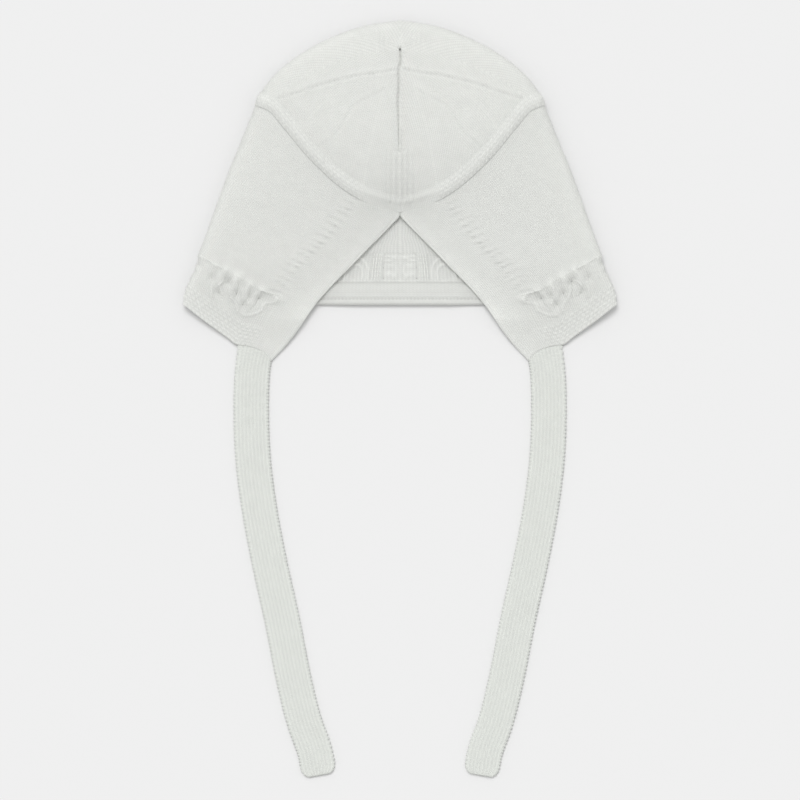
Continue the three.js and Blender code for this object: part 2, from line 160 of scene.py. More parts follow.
def direction_at(points, layer):
    """The direction from the ball's middle to each point of the back (1) or the front (-1)."""
    x, y = points[..., 0], points[..., 1] - CENTRE_Y
    share = np.minimum(np.hypot(x, y) / fold_distance(x, y), 1)
    flat = unit(np.stack([x, y], -1)) * share[..., None]
    return np.concatenate([flat, layer * np.sqrt(1 - share**2)[..., None]], -1)


def back_height(y, rise):
    flap = smoothstep(FLAP_TIP_Y, FLAP_TIP_Y + FLAP_LIFT_LENGTH, y)
    crest = smoothstep(CREST_RISE["from"], CREST_RISE["to"], y)
    crest = NOTCH_SHARE + (1 - NOTCH_SHARE) * crest
    return WALL / 2 + flap * (2 * FOLD_RADIUS + CREST * crest * rise)


def place(directions):
    """Where directions lie on the folded bonnet, at mid wall."""
    x, y, z = np.moveaxis(directions, -1, 0)
    reach = fold_distance(x, y)
    inside = reach * z * z / (1 + np.hypot(x, y))
    bend = np.sqrt(1 - np.maximum(1 - inside / FOLD_RADIUS, 0) ** 2)
    at_y = y * reach + CENTRE_Y
    fold_z = WALL / 2 + FOLD_RADIUS
    height = fold_z + np.where(z < 0, -FOLD_RADIUS, back_height(at_y, z * z) - fold_z) * bend
    return np.stack([x * reach, at_y, height], -1)


def between(a, b, share):
    return unit(a + (b - a) * share)


def at_index(line, index):
    columns = [np.interp(index, np.arange(len(line)), column) for column in line.T]
    return unit(np.stack(columns, -1))


def half_line(back_rows, front_rows):
    """A line over one half of the shell: the back layer, round the fold, and the front layer."""
    back = direction_at(curve_through(back_rows), 1)
    front = direction_at(curve_through(front_rows), -1)
    back, front = back[back[:, 2] != 0], front[front[:, 2] != 0]
    over = between(back[-1], front[0], np.linspace(0, 1, 17)[1:-1, None])
    return np.vstack([back, over, front])


def beside(line, distance):
    """The line moved sideways over the surface by a real distance."""
    mirrored = line * [-1, 1, 1]
    before = np.vstack([mirrored[1:2], line[:-1]])
    after = np.vstack([line[1:], mirrored[-2:-1]])
    tangent = after - before
    axis = unit(tangent - (tangent * line).sum(-1, keepdims=True) * line)
    turn = math.radians(0.25) * math.copysign(1, distance)
    here, walked = line.copy(), np.zeros(len(line))
    while (walked < abs(distance)).any():
        ahead = here * math.cos(turn) + np.cross(axis, here) * math.sin(turn)
        stride = np.linalg.norm(place(ahead) - place(here), axis=-1)
        share = np.clip((abs(distance) - walked) / stride, 0, 1)
        here = unit(here + (ahead - here) * share[:, None])
        walked += stride
    return here


WELT_LINE = half_line(WELT_BACK, WELT_FRONT)
WELT_OUTER = beside(WELT_LINE, WELT_WIDTH / 2)
WELT_INNER = beside(WELT_LINE, -WELT_WIDTH / 2)
PANEL_TOP = beside(WELT_LINE, WELT_WIDTH / 2 + BUTT)
CROWN_FOOT = beside(WELT_LINE, -WELT_WIDTH / 2 - BUTT)
FACE_LINE = half_line(FACE_BACK, FACE_FRONT)
NECK_LINE = direction_at(curve_through(NECK_EDGE), 1)


# ---- columns: the wales that run from the face edge to the welt ---------------------------------
def rise_of(directions):
    return np.arcsin(np.clip(directions[..., 2], -1, 1))


def station_places(line, inset, count=200):
    """Places along a half line: the neck, the fashion marks, the fold and the front's middle."""
    length, index = lengths_along(place(line)), np.arange(len(line))
    fall, shares = -rise_of(line), np.linspace(0, 1, count)
    marks = np.interp(inset, length, index)
    neck = np.interp(shares * inset, length, index)
    back = np.interp(np.interp(marks, index, fall) * (1 - shares[1:]), fall, index)
    front = np.interp(fall[-1] * shares[1:], fall, index)
    places = np.concatenate([neck, back, front])
    return places, np.interp(places, index, length), count - 1


ON_FACE, FACE_LENGTHS, MARKS = station_places(FACE_LINE, MARK_INSET["face"])
ON_WELT, WELT_LENGTHS, _ = station_places(WELT_LINE, MARK_INSET["welt"])
STATIONS = (FACE_LENGTHS + WELT_LENGTHS) / 2
MARK_STATION = STATIONS[MARKS]
FACE_HALF = FACE_LENGTHS[-1]


def evenly(start, end, step):
    return np.linspace(start, end, max(2, round(abs(end - start) / step) + 1))


def with_rim(values, rim, low=True, high=False):
    """The values with a few more close to their ends, where a rim is rounded."""
    extra = [values[0] + rim * x for x in (0.06, 0.22, 0.5)] if low else []
    extra += [values[-1] - rim * x for x in (0.5, 0.22, 0.06)] if high else []
    return np.unique(np.concatenate([values, extra]))


class Columns:
    """Wale columns over one half, from the neck edge or the marks to the middle of the front."""

    def __init__(self, stations):
        self.stations = stations
        self.on_face = np.interp(stations, STATIONS, ON_FACE)
        self.on_welt = np.interp(stations, STATIONS, ON_WELT)
        self.from_front = FACE_HALF - np.interp(stations, STATIONS, FACE_LENGTHS)
        self.on_welt_length = np.interp(stations, STATIONS, WELT_LENGTHS)
        low = at_index(FACE_LINE, self.on_face)[:, None]
        high = at_index(PANEL_TOP, self.on_welt)[:, None]
        shares = np.linspace(0, 1, 61)[:, None]
        neck_length = lengths_along(place(NECK_LINE))
        neck_index = np.interp(neck_length[-1] * (1 - shares[:, 0]), neck_length,
                               np.arange(len(NECK_LINE)))
        bend = at_index(NECK_LINE, neck_index) - between(FACE_LINE[0], PANEL_TOP[0], shares)
        nearness = np.maximum(0, rise_of(low) / rise_of(FACE_LINE[0])) ** 2
        self.paths = unit(between(low, high, shares) + bend * nearness[..., None])

    def from_neck(self, grid):
        """How far each point of a whole strip lies from its nearer neck edge or marks."""
        stations = np.concatenate([self.stations, self.stations[-2::-1]])
        return np.broadcast_to(stations[:, None], grid.along.shape)

    def rows(self, distances_for):
        """Mid-wall points of each column, at distances_for(its length, its place)."""
        points, along = [], []
        for path, from_front in zip(self.paths, self.from_front):
            at = lengths_along(place(path))
            wanted = distances_for(at[-1], from_front)
            points.append(place(at_index(path, np.interp(wanted, at, np.arange(len(at))))))
            along.append(wanted)
        return np.array(points), np.array(along)


def lace_top(from_front):
    """How far above the face edge the lace ends. It widens over the flap, towards the marks."""
    widening = smoothstep(LACE_WIDENING["from"], LACE_WIDENING["to"], from_front)
    width = LACE_WIDTH["front"] + (LACE_WIDTH["marks"] - LACE_WIDTH["front"]) * widening
    return EDGING_WIDTH + width


class Grid:
    """Mid-wall points with the knit's own coordinates: across the wales and along them."""

    def __init__(self, points, across, along, closed=False):
        self.points, self.across, self.along, self.closed = points, across, along, closed

    def normals(self):
        up = np.gradient(self.points, axis=1)
        if self.closed:
            side = np.roll(self.points, -1, 0) - np.roll(self.points, 1, 0)
        else:
            side = np.gradient(self.points, axis=0)
        return unit(np.cross(up, side))


def strip_grid(points, across, along):
    """A whole strip from its right half, from the left neck edge round the front."""
    points = np.concatenate([points * [-1, 1, 1], points[-2::-1]])
    across = np.concatenate([-across, across[-2::-1]])
    along = np.concatenate([along, along[-2::-1]])
    return Grid(points, across, along)


def ring_grid(points, across, along):
    """A whole ring from its right half, closed at the middle of the back."""
    points = np.concatenate([points * [-1, 1, 1], points[-2:0:-1]])
    whole = 2 * across[-1] - across[-2::-1]
    across = np.concatenate([across, whole])
    along = np.concatenate([along, along[-2::-1]])
    return Grid(points, across, along, closed=True)


# ---- walls --------------------------------------------------------------------------------------
def rounded(distance, radius, least=0.3):
    """The share of the wall's thickness that is left at a distance from a rim."""
    share = 1 - np.clip(distance / radius, 0, 1)
    return least + (1 - least) * np.sqrt(1 - share**2)


def drooped(points):
    """The knit's points, with the back layer sinking towards the front one along the neck edges
    and the middle of the front's hem standing a little off the floor."""
    at = mirrored_plan(points)
    away, _ = near_line(at, DROOP_LINE)
    room = np.maximum(points[..., 2] - 1.5 * WALL - DROOP_SPARE, 0)
    sunk = points.copy()
    sunk[..., 2] -= DROOP_SHARE * room * bell(away, DROOP_REACH)
    hem = bell(at[..., 1] - FACE_FRONT[-1, 1], HEM_REACH)
    hem = smoothstep(HEM_FADE["from"], HEM_FADE["to"], at[..., 0]) * hem
    sunk[..., 2] += HEM_LIFT * hem * (points[..., 2] < 3 * MM)
    return sunk


def wall_piece(name, grid, outward, inward, rim, keep=None):
    """A closed wall round a grid, as a mesh with its stitches as UVs and its inner face marked.

    outward and inward hold how far each face stands out and its painted shading there: painted shade
    above nought, painted highlight below.
    """
    columns, rows = grid.points.shape[:2]
    cells = columns if grid.closed else columns - 1
    keep = np.ones((cells, rows - 1), bool) if keep is None else keep
    grid.points = drooped(grid.points)
    normals = grid.normals()
    outer = grid.points + normals * (WALL / 2 * rim + outward[..., 0])[..., None]
    inner = grid.points - normals * (WALL / 2 * rim + inward[..., 0])[..., None]
    places = np.concatenate([outer.reshape(-1, 3), inner.reshape(-1, 3)])
    places[:, 2] = np.maximum(places[:, 2], FLOOR_CLEARANCE)
    corners = np.array([(0, 0), (1, 0), (1, 1), (0, 1)])  # a, b, c and d of a cell
    i, j = np.nonzero(keep)
    quads, shifts = [], []

    def add(which, corner_order, layers):
        at = corners[corner_order]
        vertex = (i[which, None] + at[:, 0]) % columns * rows + j[which, None] + at[:, 1]
        quads.append(vertex + np.array(layers) * columns * rows)
        shifts.append(np.stack([i[which, None] + at[:, 0], j[which, None] + at[:, 1]], -1))

    every = np.ones(len(i), bool)
    add(every, [0, 3, 2, 1], [0, 0, 0, 0])
    add(every, [0, 1, 2, 3], [1, 1, 1, 1])
    # Each side of a cell: the step to the cell beyond it, and the side's two corners.
    for step_i, step_j, low, high in ((0, -1, 0, 1), (1, 0, 1, 2), (0, 1, 2, 3), (-1, 0, 3, 0)):
        ni, nj = i + step_i, j + step_j
        ni = ni % cells if grid.closed else ni
        inside = (ni >= 0) & (ni < cells) & (nj >= 0) & (nj < rows - 1)
        open_side = ~(inside & keep[np.clip(ni, 0, cells - 1), np.clip(nj, 0, rows - 2)])
        add(open_side, [low, high, high, low], [0, 0, 1, 1])
    quads, shifts = np.concatenate(quads), np.concatenate(shifts)
    used, quads = np.unique(quads, return_inverse=True)
    mesh = bpy.data.meshes.new(name)
    mesh.from_pydata(places[used], [], quads.reshape(-1, 4))
    stitches = np.stack([grid.across[shifts[..., 0], shifts[..., 1]],
                         grid.along[shifts[..., 0] % columns, shifts[..., 1]]], -1)
    layer = mesh.uv_layers.new(name="stitches")
    layer.uv.foreach_set("vector", (stitches / MM).astype(np.float32).ravel())
    # The painted shade and painted highlights go onto the mesh as its shade attribute.
    painted_shades = np.concatenate([outward[..., 1].ravel(), inward[..., 1].ravel()])[used]
    for label, values in (("inside", used >= columns * rows), ("shade", painted_shades)):
        attribute = mesh.attributes.new(label, "FLOAT", "POINT")
        attribute.data.foreach_set("value", values.astype(np.float32))
    mesh.polygons.foreach_set("use_smooth", np.ones(len(mesh.polygons), bool))
    mesh.set_sharp_from_angle(angle=math.radians(60))
    piece = bpy.data.objects.new(name, mesh)
    bpy.context.scene.collection.objects.link(piece)
    cell = np.cross(np.diff(grid.points, axis=0)[:, 1:], np.diff(grid.points, axis=1)[1:])
    piece["flat_area"] = float((np.linalg.norm(cell, axis=-1) * keep[:len(cell)]).sum())
    return piece


# ---- relief -------------------------------------------------------------------------------------
def bell(distance, radius):
    return np.exp(-((distance / radius) ** 2))


def wave(distance, length, phase=0):
    return np.cos(2 * math.pi * distance / length + phase)


def mirrored_plan(points):
    """Each point's place in plan, with the left half laid over the right one."""
    return np.stack([np.abs(points[..., 0]), points[..., 1]], -1)


def relief(height, shade=0):
    """A height and a painted shading, together: above nought it darkens the colour as painted shade,
    below nought it lightens it as a painted highlight.
    """
    return np.stack(np.broadcast_arrays(height, shade), -1)


def near_line(points, line):
    """Each point's distance from a line of points in the plane, and how far along it is."""
    distance = np.full(points.shape[:-1], np.inf)
    along = np.zeros(points.shape[:-1])
    starts = lengths_along(line)
    for start, end, begun in zip(line[:-1], line[1:], starts):
        way = end - start
        share = np.clip(((points - start) @ way) / (way @ way), 0, 1)
        away = np.linalg.norm(points - start - share[..., None] * way, axis=-1)
        nearer = away < distance
        distance = np.where(nearer, away, distance)
        along = np.where(nearer, begun + share * np.linalg.norm(way), along)
    return distance, along


def pearls(across, along, pitch, rows, seed):
    """Seed stitch: rows of raised pearls, each row half a pearl out of step with the last."""
    row = np.floor(along / rows).astype(int)
    shifted = across / pitch + 0.5 * (row % 2)
    number = np.floor(shifted).astype(int)
    chance = np.random.default_rng(seed).uniform(0.75, 1.15, 4096)
    size = chance[(number * 37 + row * 101) % 4096]
    u, v = shifted - number - 0.5, along / rows - row - 0.5
    return size * np.cos(math.pi * u) ** 1.3 * np.maximum(np.cos(math.pi * v), 0) ** 1.1


def soft_waves(points, size):
    """The slow swells of a knit that lies loosely, alike on the left and right."""
    x, y = np.abs(points[..., 0]) / MM, points[..., 1] / MM
    waves = (
        np.sin(x / 9.1 + y / 14 + 0.6)
        + 0.8 * np.sin(x / 15.7 - y / 8.3 + 2.1)
        + 0.7 * np.sin(x / 6.3 + y / 21 + 4.0)
        + 0.5 * np.sin(-x / 11 + y / 5.9 + 1.2)
    )
    return relief(size * waves / 3)


def back_ribs(points, sizes):
    """The ribs in the middle of the back, where the shaping has drawn the wales together, with
    painted highlights on the ribs and courses and painted shade between them.
    """
    x, y = points[..., 0], points[..., 1]
    window = smoothstep(9 * MM, 6 * MM, np.abs(x)) * smoothstep(-8 * MM, -4 * MM, y)
    window = window * smoothstep(24 * MM, 14 * MM, y) * (points[..., 2] > 6 * MM)
    ribs = wave(x, 2.8 * MM)
    courses = wave(y, 2.3 * MM)
    return relief(sizes.rib_height * window * ribs, -0.012 * window * (ribs + courses))


# The seam down the crown, and its lines of decreases with their depths.
SEAM = table((0.2, 69), (0.3, 64), (-0.8, 60), (-0.6, 52), (-1.2, 43), (-0.8, 36), (-0.4, 29),
             (0, 19))
DECREASES = (
    (table((2.5, 60), (10, 58.3), (20, 57), (30, 54.8), (40, 52.2), (48, 49.5), (55, 47.3),
           (65, 44.5)), 0.42 * MM),
    (table((8, 50), (24, 41), (27, 36), (32, 28.5), (41, 21)), 0.2 * MM),
)

# Leaves of the lace on the flap: from root to tip, as distances from the middle of the front and
# from the face edge, with the half width and height of each, in millimetres.
LEAVES = (
    ((114.2, 14.5), (115.8, 27.0), 2.6, 0.75),
    ((121.6, 13.5), (122.7, 29.0), 2.3, 1.0),
    ((131.0, 13.5), (128.7, 29.3), 2.4, 1.25),
    ((135.8, 14.5), (135.6, 30.0), 2.0, 1.2),
    ((139.0, 13.5), (141.6, 30.4), 1.7, 1.0),
)
# Thin raised veins of crossed stitches round them.
VEINS = (
    ((127.6, 23.0), (129.0, 20.5), (131.2, 18.5), (134.4, 17.0), (135.6, 14.5)),
    ((120.2, 20.0), (120.7, 17.0), (122.1, 13.5)),
    ((135.2, 27.0), (136.6, 24.5), (138.8, 21.5)),
    ((141.0, 30.8), (144.5, 30.2), (148.4, 28.8), (148.6, 26.0), (145.2, 23.8), (145.6, 20.5),
     (142.4, 17.0), (138.7, 15.0)),
    ((109.5, 26.0), (113.5, 27.2), (117.0, 27.4), (120.0, 28.4)),
    ((125.0, 24.0), (123.4, 20.5), (126.0, 17.5)),
)
# Raised tips of the leaves and hollows between them: place, radius and height.
TIPS = (
    ((116.8, 27.4), 2.1, 0.8),
    ((122.7, 28.9), 2.2, 1.26),
    ((129.0, 29.2), 2.6, 1.49),
    ((136.0, 29.8), 2.2, 1.26),
    ((142.2, 31.0), 2.0, 0.92),
    ((149.2, 28.4), 2.0, 1.03),
    ((110.2, 22.4), 1.9, -0.8),
    ((109.4, 18.2), 1.6, -0.7),
    ((118.4, 21.4), 2.1, -0.8),
    ((126.4, 24.2), 2.2, -1.2),
    ((124.6, 17.0), 2.3, -1.2),
    ((132.0, 21.8), 2.1, -1.0),
    ((136.8, 19.0), 2.1, -1.0),
    ((138.2, 24.6), 1.6, -0.8),
    ((142.6, 25.6), 2.2, -1.2),
)
# Eyelets of the lace on the flap: place, half length up the wales and half width.
FLAP_EYELETS = (
    ((110.2, 22.4), 0.3, 0.18),
    ((118.4, 21.4), 0.3, 0.18),
    ((126.4, 24.2), 0.34, 0.2),
    ((124.6, 17.0), 0.34, 0.2),
    ((132.0, 21.8), 0.3, 0.18),
    ((136.8, 19.0), 0.3, 0.18),
    ((142.6, 25.6), 0.34, 0.2),
)
LACE_REPEAT = 24 * MM
# Eyelets of one repeat on the front, on each side of its middle.
FRONT_EYELETS = (
    ((0, 18.2), 0.3, 0.18),
    ((8.2, 18.4), 0.25, 0.18),
    ((8.2, 13.4), 0.25, 0.18),
)
# Knots of yarn between the bundles: place, half length, half height and relief, in millimetres.
KNOTS = (
    ((2.2, 23.6), 1.9, 1.2, 0.75),
    ((6.2, 24.2), 2.2, 0.8, 0.6),
    ((6.2, 22.0), 2.2, 0.6, 0.6),
    ((4.6, 19.2), 2.6, 1.3, 0.45),
    ((5.6, 15.2), 1.7, 1.6, 0.7),
    ((2.6, 14.4), 1.2, 1.5, 0.7),
    ((1.6, 17.2), 0.8, 1.6, 0.4),
)
# How far from the middle of the front the flap's lace begins, and where it fades out.
FLAP_START = 108 * MM
HOLLOW_FADE = {"from": 151 * MM, "to": 146 * MM}
LEAF_FADE = {"from": 155 * MM, "to": 152 * MM}


def lace_eyelets():
    """All eyelets of the right half, in metres, with the front's repeat written out."""
    rows = [(np.array(at) * MM, tall * MM, wide * MM) for at, tall, wide in FLAP_EYELETS]
    for repeat in range(0, 5, 2):
        for (aside, up), tall, wide in FRONT_EYELETS:
            for side in (-1, 1):
                across = repeat * LACE_REPEAT + side * aside * MM
                if -1e-9 < across < FLAP_START - 4 * MM:
                    rows.append((np.array((across, up * MM)), tall * MM, wide * MM))
    return rows


def flap_lace(across, along):
    """The leaves, their tips and the veins on the outer face, and the hollows between them, with
    painted highlights on the raised parts and painted shade in the hollows.
    """
    at = np.stack([np.abs(across), along], -1)
    height, shade = np.zeros(across.shape), np.zeros(across.shape)
    for root, tip, half, tall in LEAVES:
        root, tip = np.array(root) * MM, np.array(tip) * MM
        way = tip - root
        share = ((at - root) @ way) / (way @ way)
        aside = np.abs((at[..., 0] - root[0]) * way[1] - (at[..., 1] - root[1]) * way[0])
        aside = aside / np.linalg.norm(way) / (half * MM)
        swell = np.sin(math.pi * np.clip(share, 0, 1) ** 1.6) ** 0.7
        body = np.sqrt(np.maximum(0, 1 - (aside / np.maximum(swell, 0.05)) ** 2))
        height = np.maximum(height, tall * MM * body * swell * (0.35 + 0.65 * share))
    for vein in VEINS:
        away, travelled = near_line(at, curve_through(np.array(vein, float) * MM, 24))
        beads = 0.75 + 0.25 * wave(travelled, 1.3 * MM)
        height = height + 0.6 * MM * beads * bell(away, 0.6 * MM)
        # Painted highlights along the veins and a line of painted shade beside each.
        shade = shade - 0.05 * beads * bell(away, 0.6 * MM)
        shade = shade + 0.03 * bell(away - 1.1 * MM, 0.4 * MM)
    for middle, radius, tall in TIPS:
        away = np.linalg.norm(at - np.array(middle) * MM, axis=-1)
        spot = tall * bell(away, radius * MM)
        height = height + MM * spot
        # Painted highlights on the raised tips, painted shade in the hollows.
        shade = shade - 0.055 * np.maximum(spot, 0) - 0.03 * np.minimum(spot, 0)
    inside = smoothstep(0, 4 * MM, lace_top(np.abs(across)) - along)
    inside = inside * smoothstep(EDGING_WIDTH, EDGING_WIDTH + MM, along)
    inside = inside * smoothstep(FLAP_START - 3 * MM, FLAP_START, np.abs(across))
    inside = inside * smoothstep(HOLLOW_FADE["from"], HOLLOW_FADE["to"], np.abs(across))
    shown = smoothstep(LEAF_FADE["from"], LEAF_FADE["to"], np.abs(across))
    shown = shown * smoothstep(FLAP_START - 3 * MM, FLAP_START, np.abs(across))
    return relief(height * shown - 0.15 * MM * inside, shade * shown)


def front_lace(across, along):
    """The purl side of the lace: bundles of ribs, with curls and knots of yarn between them, painted
    shade over it and between the ribs, painted highlights on ribs, knots and curls.
    """
    far = np.abs(across)
    nearest = np.abs((far / LACE_REPEAT + 0.5) % 1 - 0.5) * LACE_REPEAT
    from_bundle = LACE_REPEAT / 2 - nearest
    band = smoothstep(11.8 * MM, 13 * MM, along) * smoothstep(26 * MM, 24.8 * MM, along)
    ribs = 0.5 + 0.5 * np.cos(2 * math.pi * (from_bundle / (1.45 * MM) - 0.5))
    bundle = smoothstep(3.4 * MM, 2.7 * MM, from_bundle)
    waist = 0.75 + 0.25 * wave(along, 2.1 * MM, 0.7)
    height = 0.85 * MM * bundle * (0.25 + 0.75 * ribs * waist)
    # Painted shade over the whole inner face and between the ribs, painted highlights on the ribs,
    # and a line of painted shade beside each bundle.
    shade = 0.05 + bundle * (0.03 - 0.18 * ribs * waist)
    shade = shade + 0.03 * bell(from_bundle - 3.5 * MM, 0.5 * MM)
    even = np.round(far / LACE_REPEAT) % 2 < 0.5
    for (aside, up), long, tall, raised in KNOTS:
        away = np.hypot((nearest - aside * MM) / long, (along - up * MM) / tall)
        spot = even * raised * bell(away, MM) * (1 - bundle)
        # Painted highlights on the knots.
        height, shade = height + spot * MM, shade - 0.14 * spot
    for reach in (4.6, 7.4):
        arch = np.hypot(nearest, np.maximum(along - 15 * MM, 0) * 0.85) - reach * MM
        spot = ~even * bell(arch, 0.7 * MM) * (1 - bundle)
        # Painted highlights on the curls.
        height, shade = height + 0.6 * MM * spot, shade - 0.1 * spot
    return relief(band * (height - 0.35 * MM), band * shade)


# ---- finishes -----------------------------------------------------------------------------------
def linear(colour):
    """An sRGB hex colour as linear red, green, blue and alpha."""
    parts = [int(colour[k:k + 2], 16) / 255 for k in (1, 3, 5)]
    return [p / 12.92 if p <= 0.04045 else ((p + 0.055) / 1.055) ** 2.4 for p in parts] + [1.0]


def add_node(tree, kind, inputs=(), **settings):
    """Adds a node with its settings; inputs are values or the sockets that they come from."""
    node = tree.nodes.new(kind)
    for name, value in settings.items():
        setattr(node, name, value)
    for key, value in inputs.items() if isinstance(inputs, dict) else enumerate(inputs):
        if isinstance(value, bpy.types.NodeSocket):
            tree.links.new(value, node.inputs[key])
        elif value is not None:
            node.inputs[key].default_value = value
    return node


MATH = "ShaderNodeMath"
SLUB = 5 * MM  # the length of a thicker place in the yarn
FIBRE = 0.7 * MM  # the spun fibres, drawn far coarser than they are so that they show
STITCH_DEPTH = 0.35 * MM
# Painted shade between the stitches: the share of the yarn's brightness kept in the hollows.
PAINTED_SHADE_SHARE = 0.9  # the brightness left between the stitches
SHEER_SHARE = 0.4

# How the stitches' height is worked out: each step's name, operation and what goes into it.
# Each wale has two legs of yarn, whose middles lie a quarter of a wale from its middle. The purl
# side has a bumpy ridge for each course, lowest between the wales.
STITCH_STEPS = (
    ("wales", "DIVIDE", "u", "wale"),
    ("courses", "DIVIDE", "v", "course"),
    ("part", "FRACT", "wales"),
    ("centred", "SUBTRACT", "part", 0.5),
    ("away", "ABSOLUTE", "centred"),
    ("scaled", "MULTIPLY_ADD", "away", 4.0, -1.0),
    ("square", "MULTIPLY", "scaled", "scaled"),
    ("leg", "SUBTRACT", 1.0, "square"),
    ("slant", "MULTIPLY_ADD", "away", 1.3, "courses"),
    ("turn", "MULTIPLY", "slant", 2 * math.pi),
    ("swing", "COSINE", "turn"),
    ("strand", "MULTIPLY_ADD", "swing", 0.3, 0.7),
    ("plain", "MULTIPLY", "leg", "strand"),
    ("round", "MULTIPLY", "wales", 2 * math.pi),
    ("bumps", "COSINE", "round"),
    ("bent", "MULTIPLY_ADD", "bumps", 0.22, "courses"),
    ("purl_turn", "MULTIPLY", "bent", 2 * math.pi),
    ("purl_swing", "COSINE", "purl_turn"),
    ("purl_row", "MULTIPLY_ADD", "purl_swing", 0.2, 0.5),
    ("purl", "MULTIPLY_ADD", "bumps", "purl_bumps", "purl_row"),
)


def knit_height(tree, wale, course, purl_bumps):
    """Height of the stitches, over UVs in millimetres: V stitches outside, purl bumps inside."""
    uv = add_node(tree, "ShaderNodeUVMap", uv_map="stitches").outputs[0]
    split = add_node(tree, "ShaderNodeSeparateXYZ", [uv])
    values = {"u": split.outputs[0], "v": split.outputs[1], "wale": wale / MM,
              "course": course / MM, "purl_bumps": purl_bumps}
    for name, operation, *sources in STITCH_STEPS:
        inputs = [values.get(source, source) for source in sources]
        values[name] = add_node(tree, MATH, inputs, operation=operation).outputs[0]
    inside = add_node(tree, "ShaderNodeAttribute", attribute_name="inside").outputs["Fac"]
    both = add_node(tree, "ShaderNodeMix", [inside, None, values["plain"], values["purl"]],
                    data_type="FLOAT")
    return both.outputs[0]


def knitted_cotton(name, colour, sizes, bump, purl_bumps=0.3):
    """Combed cotton yarn knitted fine: matt, with a little fuzz that catches light at grazing
    angles, painted shade between the stitches and from the pieces' attribute, and faintly uneven
    yarn."""
    material = bpy.data.materials.new(name)
    material.use_nodes = True
    tree = material.node_tree
    tree.nodes.clear()
    place_at = add_node(tree, "ShaderNodeTexCoord").outputs["Object"]
    height = knit_height(tree, sizes.wale, sizes.course, purl_bumps)
    slub = add_node(tree, "ShaderNodeTexNoise", {"Vector": place_at, "Scale": 1 / SLUB,
                                                 "Detail": 3.0}).outputs["Fac"]
    fibre = add_node(tree, "ShaderNodeTexNoise", {"Vector": place_at, "Scale": 1 / FIBRE,
                                                  "Detail": 2.0}).outputs["Fac"]
    plain = linear(colour)
    # Painted shade: the hollows between the stitches take a darker copy of the yarn's colour.
    painted_shade_colour = [c * PAINTED_SHADE_SHARE for c in plain[:3]] + [1.0]
    yarn = add_node(tree, "ShaderNodeMix", {0: height, 6: painted_shade_colour, 7: plain}, data_type="RGBA")
    tone = add_node(tree, "ShaderNodeMapRange", {"Value": slub, "To Min": 0.965, "To Max": 1.035})
    # Painted shading from the pieces' attribute: painted shade in hollows and gaps, highlights on
    # raised knit.
    shade = add_node(tree, "ShaderNodeAttribute", attribute_name="shade").outputs["Fac"]
    unshaded_share = add_node(tree, MATH, [1.0, shade], operation="SUBTRACT").outputs[0]
    lit = add_node(tree, MATH, [tone.outputs[0], unshaded_share], operation="MULTIPLY").outputs[0]
    toned = add_node(tree, "ShaderNodeMix", {0: 1.0, 6: yarn.outputs[2], 7: lit},
                     data_type="RGBA", blend_type="MULTIPLY")
    rough = add_node(tree, MATH, [fibre, 0.25, height], operation="MULTIPLY_ADD").outputs[0]
    bumped = add_node(tree, "ShaderNodeBump", {"Strength": bump, "Distance": STITCH_DEPTH,
                                               "Height": rough}).outputs[0]
    surface = add_node(tree, "ShaderNodeBsdfPrincipled", {
        "Base Color": toned.outputs[2], "Roughness": 0.92, "Specular IOR Level": 0.25,
        "Sheen Weight": 0.15, "Sheen Roughness": 0.5, "Normal": bumped})
    # Fine knits let much of the light through, which fills the shade inside the bonnet.
    through = add_node(tree, "ShaderNodeBsdfTranslucent", {"Color": toned.outputs[2],
                                                           "Normal": bumped})
    cloth = add_node(tree, "ShaderNodeMixShader",
                     [SHEER_SHARE, surface.outputs[0], through.outputs[0]])
    add_node(tree, "ShaderNodeOutputMaterial", {"Surface": cloth.outputs[0]})
    return material


def put_in_place(piece, node, material):
    piece.data.materials.append(material)
    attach(piece, "root")
    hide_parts(node)


def finish_sheet(piece, node, material):
    """Puts a piece in its node's place, with its material and body."""
    put_in_place(piece, node, material)


# ---- what a user would change -------------------------------------------------------------------
def length_property(name, description, millimetres):
    return bpy.props.FloatProperty(name=name, description=description, default=millimetres * MM,
                                   unit="LENGTH")


def colour_property(name, description, colour):
    return bpy.props.StringProperty(name=name, description=description + ", as sRGB hex",
                                    default=colour)


class BonnetSizes(bpy.types.PropertyGroup):
    """Sizes of the stitches and of the relief they make."""

    wale: length_property("Wale spacing", "Width of one stitch", 1.8)
    course: length_property("Course spacing", "Height of one stitch", 1.1)
    pearl_pitch: length_property("Pearl pitch", "Length of a seed-stitch pearl", 2.7)
    pearl_rows: length_property("Pearl rows", "Distance between rows of pearls", 1.9)
    pearl_height: length_property("Pearl height", "How far a pearl stands up", 0.36)
    welt_height: length_property("Welt height", "How far the welt stands up", 1.0)
    rib_height: length_property("Rib height", "Height of the ribs in the middle of the back", 0.3)
    swell: length_property("Swell", "Height of the knit's slow swells", 0.3)
    seam_depth: length_property("Seam depth", "Depth of the seam down the crown", 0.75)
    cell: length_property("Plain cell", "Mesh cell of the plain knit", 0.78)
    fine_cell: length_property("Fine cell", "Mesh cell of lace, pearls and ties", 0.42)


class BonnetColours(bpy.types.PropertyGroup):
    """Colours of the cotton and of the floor."""

    plain: colour_property("Plain knit", "Ecru of the plain knit", "#f7f8f5")
    seed: colour_property("Seed stitch", "Ecru of the pearls", "#f7f8f5")
    lace: colour_property("Lace", "Ecru of the lace", "#f7f8f5")
    ties: colour_property("Ties", "Ecru of the ties", "#f4f6f2")
    floor: colour_property("Floor", "Pale grey of the floor", "#dbdbdb")


